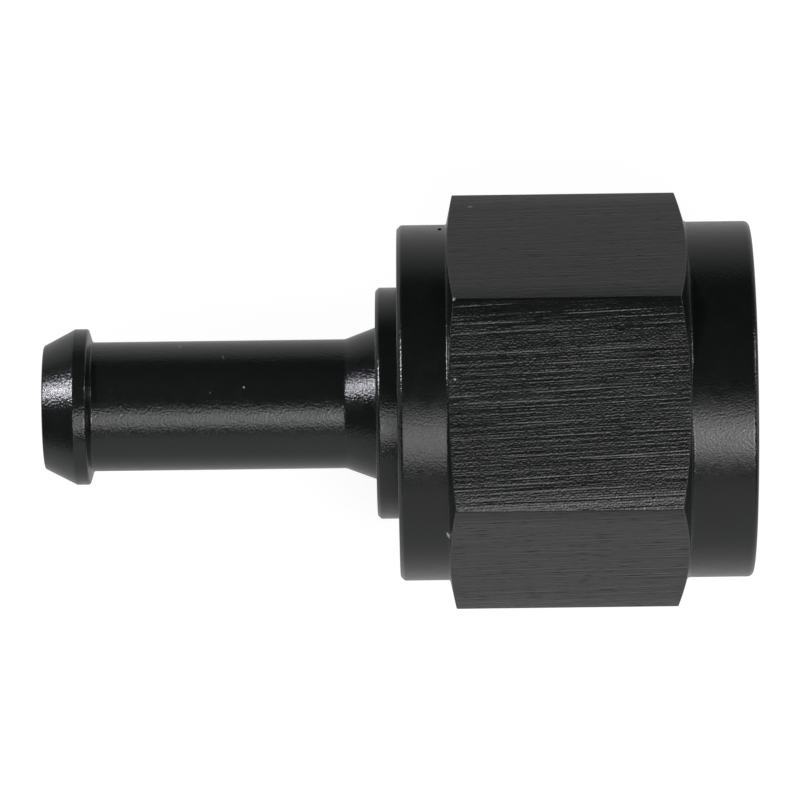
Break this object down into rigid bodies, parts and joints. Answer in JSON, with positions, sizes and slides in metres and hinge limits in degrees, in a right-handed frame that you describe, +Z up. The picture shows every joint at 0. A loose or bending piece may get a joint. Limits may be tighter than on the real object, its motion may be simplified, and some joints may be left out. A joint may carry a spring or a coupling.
{
  "type": "swivel hose barb",
  "caption": "Black aluminium fitting that joins a push-on hose, held by a beaded barb, to a male flare fitting through a hexagonal swivel nut.",
  "frame": {"origin": "on the axis, where the nut's thread starts behind the lead-in of its mouth", "axes": "+X along the axis from the barb to the nut's mouth, +Z up, with a hex flat underneath"},
  "size_m": [0.0343, 0.0202, 0.0174],
  "materials": {
    "black_anodise": "blasted and black anodised, satin",
    "spring_wire": "drawn stainless wire"
  },
  "bodies": {
    "stem": {"barb_stem": "black_anodise"},
    "wire": {"retaining_wire": "spring_wire"},
    "nut": {"swivel_nut": "black_anodise"}
  },
  "joints": [
    {"name": "nut_float", "type": "slide", "parent": "stem", "child": "wire", "axis": [1, 0, 0], "range_m": [-0.0004, 0]},
    {"name": "nut_swivel", "type": "hinge", "parent": "wire", "child": "nut", "pos_m": [-0.01516, 0, 0], "axis": [1, 0, 0], "continuous": true}
  ]
}
